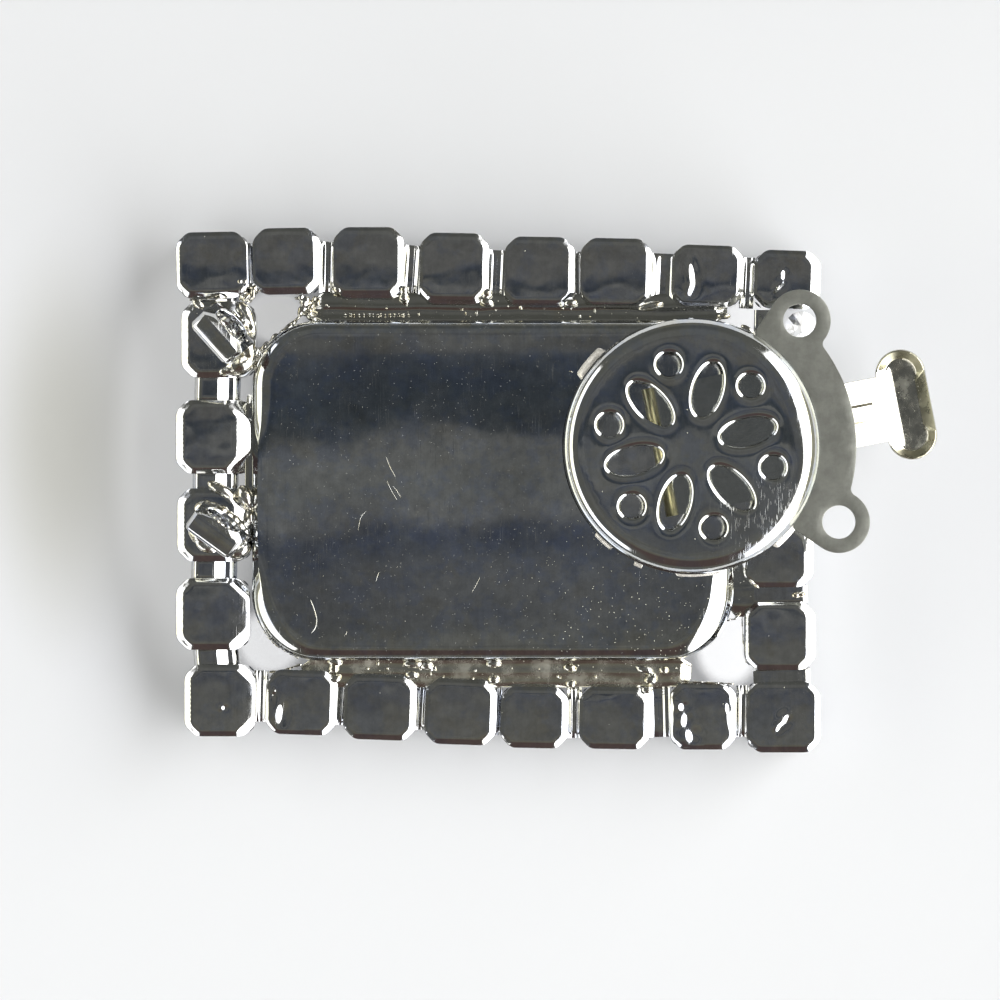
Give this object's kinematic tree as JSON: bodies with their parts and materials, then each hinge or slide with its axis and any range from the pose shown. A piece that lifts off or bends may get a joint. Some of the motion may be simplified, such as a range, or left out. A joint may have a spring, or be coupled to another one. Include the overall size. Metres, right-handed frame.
{
  "type": "box clasp",
  "caption": "Rhinestone box clasp for strung necklaces: a stone setting with a border of stones, a round pierced box, and a push-lever tongue.",
  "frame": {"origin": "bottom centre of the overall box, in the plane that the centre stone's table rests on", "axes": "+X along the long side, from the strand loops to the push lever; +Y along the short side; +Z from the stones' front to the clasp's back"},
  "size_m": [0.0416, 0.0288, 0.0084],
  "materials": {
    "plated_metal": "bright silver-coloured plating, finely scratched, with solder spots",
    "tongue_metal": "worn grey plating, satin, finely brushed",
    "lever_metal": "bright plating, worn a little yellow on the pad's rim",
    "clear_stone": "clear facet-cut glass"
  },
  "bodies": {
    "frame": {"soldered_frame": "plated_metal", "box_lid": "plated_metal", "centre_stone": "clear_stone", "gap_stone": "clear_stone", "border_stone_01": "clear_stone", "border_stone_02": "clear_stone", "border_stone_03": "clear_stone", "border_stone_04": "clear_stone", "border_stone_05": "clear_stone", "border_stone_06": "clear_stone", "border_stone_07": "clear_stone", "border_stone_08": "clear_stone", "border_stone_09": "clear_stone", "border_stone_10": "clear_stone", "border_stone_11": "clear_stone", "border_stone_12": "clear_stone", "border_stone_13": "clear_stone", "border_stone_14": "clear_stone", "border_stone_15": "clear_stone", "border_stone_16": "clear_stone", "border_stone_17": "clear_stone", "border_stone_18": "clear_stone", "border_stone_19": "clear_stone", "border_stone_20": "clear_stone", "border_stone_21": "clear_stone", "border_stone_22": "clear_stone", "border_stone_23": "clear_stone", "border_stone_24": "clear_stone"},
    "tongue": {"tongue_plate": "tongue_metal"},
    "lever": {"push_lever": "lever_metal"}
  },
  "joints": [
    {"name": "tongue_slide", "type": "slide", "parent": "frame", "child": "tongue", "axis": [0.9816, 0.1908, 0], "range_m": [0, 0.01]},
    {"name": "lever_press", "type": "hinge", "parent": "tongue", "child": "lever", "pos_m": [0.0061, 0.00212, 0.0066], "axis": [0.1908, -0.9816, 0], "range_deg": [0, 2.8], "stiffness_Nm_per_rad": 0.2}
  ]
}
